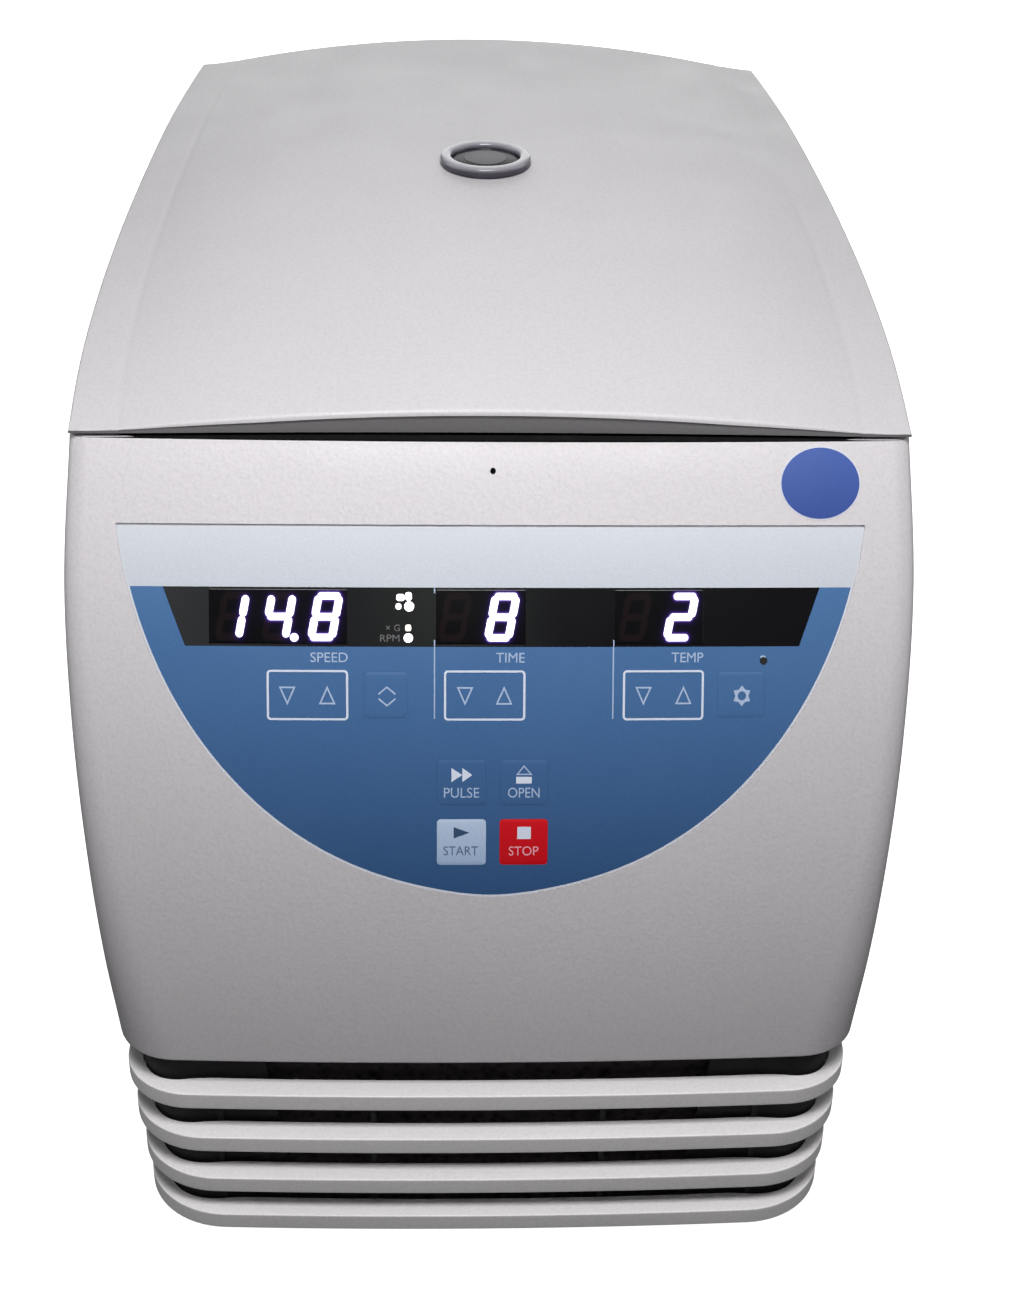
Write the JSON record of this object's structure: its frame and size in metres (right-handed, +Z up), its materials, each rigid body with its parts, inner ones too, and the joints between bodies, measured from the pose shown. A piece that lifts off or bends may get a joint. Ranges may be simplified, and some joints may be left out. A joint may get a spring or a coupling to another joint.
{
  "type": "refrigerated microcentrifuge",
  "caption": "Benchtop refrigerated microcentrifuge: arched hinged lid over a cooled rotor chamber, curved front with a round-bottomed control field, lit display and louvred foot",
  "frame": {"origin": "middle of the footprint, on the bench under the feet", "axes": "+Z up, front faces -Y, +X to the right of a person in front of it"},
  "size_m": [0.2938, 0.4402, 0.331],
  "materials": {
    "housing_plastic": "fine orange-peel texture",
    "grille_plastic": "satin",
    "lid_plastic": "satin",
    "liner_plastic": "satin",
    "black_foam": "open foam",
    "galvanised": "galvanised sheet",
    "painted_steel": "powder coat",
    "stainless": "spun",
    "rubber": "matte",
    "copper": "drawn copper",
    "foam_pu": "closed cell foam",
    "motor_black": "semi-gloss",
    "rotor_alu": "anodised",
    "fin_alu": "mill",
    "black_plastic": "moulded",
    "overlay_film": "printed polyester film",
    "lens_black": "smoked",
    "pcb": "solder mask",
    "key_blue": "printed film",
    "key_pale": "printed film",
    "key_red": "printed film",
    "label_blue": "vinyl",
    "screw_steel": "zinc plated",
    "window_clear": "moulded",
    "drive_alu": "die cast"
  },
  "bodies": {
    "cabinet": {"housing_shell": "housing_plastic", "front_grille": "grille_plastic", "air_filter": "black_foam", "base_pan": "galvanised", "feet": "rubber", "rear_panel": "painted_steel", "panel_screws": "screw_steel", "power_inlet": "black_plastic", "switch_frame": "black_plastic", "top_deck": "liner_plastic", "deck_posts": "galvanised", "chamber_bowl": "stainless", "chamber_gasket": "rubber", "evaporator_coil": "copper", "insulation_foam": "foam_pu", "motor_housing": "motor_black", "motor_mount": "galvanised", "motor_dampers": "rubber", "compressor": "motor_black", "compressor_mounts": "rubber", "condenser": "fin_alu", "fan_frame": "black_plastic", "filter_drier": "copper", "refrigerant_lines": "copper", "drive_unit": "drive_alu", "latch_housing": "black_plastic", "control_overlay": "overlay_film", "display_lens": "lens_black", "display_board": "pcb", "keypad_board": "pcb", "round_label": "label_blue", "hinge_brackets": "painted_steel", "hinge_pins": "screw_steel"},
    "lid": {"lid_shell": "lid_plastic", "lid_liner": "liner_plastic", "lid_screws": "screw_steel", "window_ring": "window_clear", "window_lens": "window_clear", "sight_tube": "black_plastic", "latch_strikers": "screw_steel", "hinge_arms": "painted_steel"},
    "rotor": {"drive_spindle": "screw_steel", "rotor_body": "rotor_alu", "rotor_lid": "rotor_alu", "rotor_knob": "black_plastic"},
    "fan": {"fan_blades": "black_plastic"},
    "latch": {"latch_bar": "screw_steel"},
    "rocker": {"power_rocker": "black_plastic"},
    "key_speed_down_body": {"key_speed_down": "key_blue"},
    "key_speed_up_body": {"key_speed_up": "key_blue"},
    "key_speed_mode_body": {"key_speed_mode": "key_blue"},
    "key_time_down_body": {"key_time_down": "key_blue"},
    "key_time_up_body": {"key_time_up": "key_blue"},
    "key_temp_down_body": {"key_temp_down": "key_blue"},
    "key_temp_up_body": {"key_temp_up": "key_blue"},
    "key_precool_body": {"key_precool": "key_blue"},
    "key_pulse_body": {"key_pulse": "key_blue"},
    "key_open_body": {"key_open": "key_blue"},
    "key_start_body": {"key_start": "key_pale"},
    "key_stop_body": {"key_stop": "key_red"}
  },
  "joints": [
    {"name": "lid_hinge", "type": "hinge", "parent": "cabinet", "child": "lid", "pos_m": [0, 0.19, 0.288], "axis": [-1, 0, 0], "range_deg": [0, 75]},
    {"name": "rotor_spin", "type": "hinge", "parent": "cabinet", "child": "rotor", "pos_m": [0, 0.042, 0.2], "axis": [0, 0, 1], "continuous": true},
    {"name": "fan_spin", "type": "hinge", "parent": "cabinet", "child": "fan", "pos_m": [0, -0.14, 0.076], "axis": [0, 1, 0], "continuous": true},
    {"name": "latch_slide", "type": "slide", "parent": "cabinet", "child": "latch", "axis": [0, 1, 0], "range_m": [0, 0.0048]},
    {"name": "rocker_tip", "type": "hinge", "parent": "cabinet", "child": "rocker", "pos_m": [0.02, 0.211, 0.046], "axis": [1, 0, 0], "range_deg": [0, 14]},
    {"name": "press_speed_down", "type": "slide", "parent": "cabinet", "child": "key_speed_down_body", "axis": [0, 0.907, -0.4212], "range_m": [0, 0.0005], "stiffness_N_per_m": 800},
    {"name": "press_speed_up", "type": "slide", "parent": "cabinet", "child": "key_speed_up_body", "axis": [0, 0.907, -0.4212], "range_m": [0, 0.0005], "stiffness_N_per_m": 800},
    {"name": "press_speed_mode", "type": "slide", "parent": "cabinet", "child": "key_speed_mode_body", "axis": [0, 0.907, -0.4212], "range_m": [0, 0.0005], "stiffness_N_per_m": 800},
    {"name": "press_time_down", "type": "slide", "parent": "cabinet", "child": "key_time_down_body", "axis": [0, 0.907, -0.4212], "range_m": [0, 0.0005], "stiffness_N_per_m": 800},
    {"name": "press_time_up", "type": "slide", "parent": "cabinet", "child": "key_time_up_body", "axis": [0, 0.907, -0.4212], "range_m": [0, 0.0005], "stiffness_N_per_m": 800},
    {"name": "press_temp_down", "type": "slide", "parent": "cabinet", "child": "key_temp_down_body", "axis": [0, 0.907, -0.4212], "range_m": [0, 0.0005], "stiffness_N_per_m": 800},
    {"name": "press_temp_up", "type": "slide", "parent": "cabinet", "child": "key_temp_up_body", "axis": [0, 0.907, -0.4212], "range_m": [0, 0.0005], "stiffness_N_per_m": 800},
    {"name": "press_precool", "type": "slide", "parent": "cabinet", "child": "key_precool_body", "axis": [0, 0.907, -0.4212], "range_m": [0, 0.0005], "stiffness_N_per_m": 800},
    {"name": "press_pulse", "type": "slide", "parent": "cabinet", "child": "key_pulse_body", "axis": [0, 0.9257, -0.3782], "range_m": [0, 0.0005], "stiffness_N_per_m": 800},
    {"name": "press_open", "type": "slide", "parent": "cabinet", "child": "key_open_body", "axis": [0, 0.9257, -0.3782], "range_m": [0, 0.0005], "stiffness_N_per_m": 800},
    {"name": "press_start", "type": "slide", "parent": "cabinet", "child": "key_start_body", "axis": [0, 0.9375, -0.348], "range_m": [0, 0.0005], "stiffness_N_per_m": 800},
    {"name": "press_stop", "type": "slide", "parent": "cabinet", "child": "key_stop_body", "axis": [0, 0.9375, -0.348], "range_m": [0, 0.0005], "stiffness_N_per_m": 800}
  ]
}
